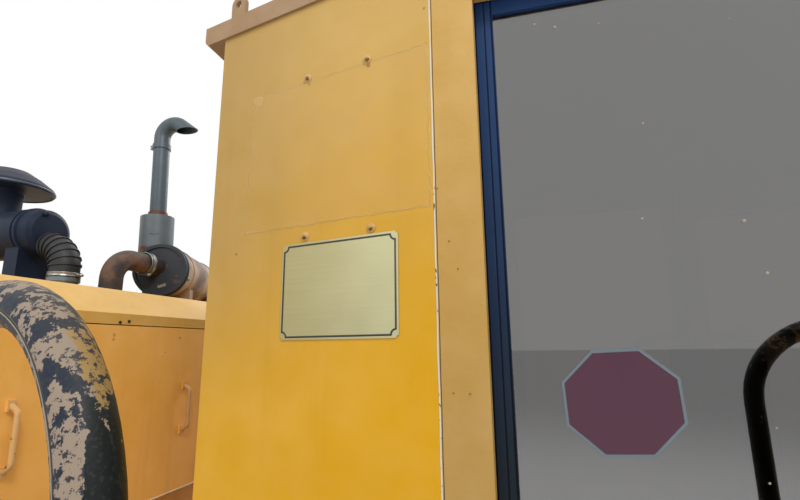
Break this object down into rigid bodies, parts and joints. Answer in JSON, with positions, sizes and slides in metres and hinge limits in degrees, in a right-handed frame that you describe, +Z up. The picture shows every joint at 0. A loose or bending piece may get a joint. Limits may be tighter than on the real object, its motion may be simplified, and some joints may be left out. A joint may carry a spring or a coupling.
{
  "type": "ballast tamper",
  "caption": "Self-propelled rail maintenance machine on flanged wheels, with an engine hood, a glazed cab between entry handrails, and vertical tamping heads that lower and squeeze.",
  "frame": {"origin": "on the floor plane, under the middle of the machine", "axes": "+X along the machine from the engine to the tamping heads, +Y to the machine's left, +Z up"},
  "size_m": [7, 2.52, 2.6616],
  "materials": {
    "yellow_paint": "weathered gloss paint",
    "hood_paint": "weathered paint",
    "pillar_paint": "chalky matt paint",
    "roof_paint": "weathered paint",
    "navy_paint": "gloss paint",
    "frame_paint": "worn black paint",
    "deck_plate": "worn tread plate",
    "rail_paint": "paint worn to primer",
    "wheel_steel": "rolled tread, rusty web",
    "axle_steel": "greasy forged steel",
    "cast_parts": "rough cast",
    "guide_chrome": "oiled chrome",
    "tool_steel": "bright worn steel",
    "head_paint": "oily paint",
    "engine_paint": "oily paint",
    "rusty_pipe": "rust",
    "grey_pipe": "heat-dulled steel",
    "cleaner_paint": "satin paint",
    "black_rubber": "ribbed hose",
    "dark_glass": "bronze tinted",
    "notice_red": "faded sheet",
    "plaque_brass": "brushed",
    "seat_cover": "worn cover",
    "lamp_shell": "satin"
  },
  "bodies": {
    "machine": {"air_cleaner": "cleaner_paint", "axle_boxes": "cast_parts", "axle_guides_and_springs": "frame_paint", "brake_shoes": "cast_parts", "cab_end_walls": "yellow_paint", "cab_fixtures": "lamp_shell", "cab_floor": "frame_paint", "cab_roof": "roof_paint", "cab_windows": "dark_glass", "deck_plates": "deck_plate", "door_frames": "pillar_paint", "engine_block": "engine_paint", "entry_steps": "deck_plate", "exhaust_elbow": "rusty_pipe", "exhaust_stack": "grey_pipe", "frame_beams": "frame_paint", "frame_cross_members": "frame_paint", "guide_columns": "guide_chrome", "handrails": "rail_paint", "hood_end_panels": "hood_paint", "hood_frame": "frame_paint", "hood_roof": "hood_paint", "intake_hose": "black_rubber", "lift_cylinders": "head_paint", "lifting_lugs": "roof_paint", "mast_posts": "yellow_paint", "mast_top": "yellow_paint", "muffler": "rusty_pipe", "plaque": "plaque_brass", "radiator": "frame_paint", "roof_pipes": "grey_pipe", "seat_cushions": "seat_cover", "side_walls": "yellow_paint", "sign_panels": "yellow_paint", "tow_lugs": "frame_paint", "underframe_tanks": "yellow_paint", "work_lamps": "lamp_shell"},
    "rear_wheelset": {"rear_wheels": "wheel_steel", "rear_axle": "axle_steel"},
    "front_wheelset": {"front_wheels": "wheel_steel", "front_axle": "axle_steel"},
    "right_cab_door": {"cab_door_right": "navy_paint", "door_glass_right": "dark_glass", "door_notice": "notice_red"},
    "left_cab_door": {"cab_door_left": "navy_paint", "door_glass_left": "dark_glass"},
    "left_rear_hood_door": {"hood_door_left_rear": "hood_paint"},
    "left_front_hood_door": {"hood_door_left_front": "hood_paint"},
    "right_rear_hood_door": {"hood_door_right_rear": "hood_paint"},
    "right_front_hood_door": {"hood_door_right_front": "hood_paint"},
    "right_head": {"head_carriage_right": "head_paint"},
    "right_front_arm": {"squeeze_arm_right_front": "tool_steel"},
    "right_front_rod": {"squeeze_rod_right_front": "guide_chrome"},
    "right_rear_arm": {"squeeze_arm_right_rear": "tool_steel"},
    "right_rear_rod": {"squeeze_rod_right_rear": "guide_chrome"},
    "left_head": {"head_carriage_left": "head_paint"},
    "left_front_arm": {"squeeze_arm_left_front": "tool_steel"},
    "left_front_rod": {"squeeze_rod_left_front": "guide_chrome"},
    "left_rear_arm": {"squeeze_arm_left_rear": "tool_steel"},
    "left_rear_rod": {"squeeze_rod_left_rear": "guide_chrome"}
  },
  "joints": [
    {"name": "rear_axle_spin", "type": "hinge", "parent": "machine", "child": "rear_wheelset", "pos_m": [-2.3, 0, 0.305], "axis": [0, 1, 0], "continuous": true},
    {"name": "front_axle_spin", "type": "hinge", "parent": "machine", "child": "front_wheelset", "pos_m": [3, 0, 0.305], "axis": [0, 1, 0], "continuous": true},
    {"name": "right_door_slide", "type": "slide", "parent": "machine", "child": "right_cab_door", "axis": [1, 0, 0], "range_m": [0, 0.59]},
    {"name": "left_door_slide", "type": "slide", "parent": "machine", "child": "left_cab_door", "axis": [1, 0, 0], "range_m": [0, 0.59]},
    {"name": "left_rear_hood_door_hinge", "type": "hinge", "parent": "machine", "child": "left_rear_hood_door", "pos_m": [-3.087, 0.746, 1.2], "axis": [0, 0, 1], "range_deg": [0, 90]},
    {"name": "left_front_hood_door_hinge", "type": "hinge", "parent": "machine", "child": "left_front_hood_door", "pos_m": [-0.919, 0.746, 1.2], "axis": [0, 0, -1], "range_deg": [0, 90]},
    {"name": "right_rear_hood_door_hinge", "type": "hinge", "parent": "machine", "child": "right_rear_hood_door", "pos_m": [-3.087, -0.746, 1.2], "axis": [0, 0, -1], "range_deg": [0, 90]},
    {"name": "right_front_hood_door_hinge", "type": "hinge", "parent": "machine", "child": "right_front_hood_door", "pos_m": [-0.919, -0.746, 1.2], "axis": [0, 0, 1], "range_deg": [0, 90]},
    {"name": "right_head_lift", "type": "slide", "parent": "machine", "child": "right_head", "axis": [0, 0, 1], "range_m": [-0.52, 0]},
    {"name": "right_front_arm_squeeze", "type": "hinge", "parent": "right_head", "child": "right_front_arm", "pos_m": [2.39, -0.753, 1], "axis": [0, 1, 0], "range_deg": [0, 10]},
    {"name": "right_front_rod_slide", "type": "slide", "parent": "right_head", "child": "right_front_rod", "axis": [1, 0, 0], "range_m": [0, 0.054]},
    {"name": "right_rear_arm_squeeze", "type": "hinge", "parent": "right_head", "child": "right_rear_arm", "pos_m": [1.93, -0.753, 1], "axis": [0, -1, 0], "range_deg": [0, 10]},
    {"name": "right_rear_rod_slide", "type": "slide", "parent": "right_head", "child": "right_rear_rod", "axis": [-1, 0, 0], "range_m": [0, 0.054]},
    {"name": "left_head_lift", "type": "slide", "parent": "machine", "child": "left_head", "axis": [0, 0, 1], "range_m": [-0.52, 0]},
    {"name": "left_front_arm_squeeze", "type": "hinge", "parent": "left_head", "child": "left_front_arm", "pos_m": [2.39, 0.753, 1], "axis": [0, 1, 0], "range_deg": [0, 10]},
    {"name": "left_front_rod_slide", "type": "slide", "parent": "left_head", "child": "left_front_rod", "axis": [1, 0, 0], "range_m": [0, 0.054]},
    {"name": "left_rear_arm_squeeze", "type": "hinge", "parent": "left_head", "child": "left_rear_arm", "pos_m": [1.93, 0.753, 1], "axis": [0, -1, 0], "range_deg": [0, 10]},
    {"name": "left_rear_rod_slide", "type": "slide", "parent": "left_head", "child": "left_rear_rod", "axis": [-1, 0, 0], "range_m": [0, 0.054]}
  ],
  "couplings": [
    {"joint": "right_front_rod_slide", "follows": "right_front_arm_squeeze", "m_per_rad": 0.3},
    {"joint": "right_rear_arm_squeeze", "follows": "right_front_arm_squeeze", "ratio": 1},
    {"joint": "right_rear_rod_slide", "follows": "right_front_arm_squeeze", "m_per_rad": 0.3},
    {"joint": "left_front_rod_slide", "follows": "left_front_arm_squeeze", "m_per_rad": 0.3},
    {"joint": "left_rear_arm_squeeze", "follows": "left_front_arm_squeeze", "ratio": 1},
    {"joint": "left_rear_rod_slide", "follows": "left_front_arm_squeeze", "m_per_rad": 0.3}
  ]
}
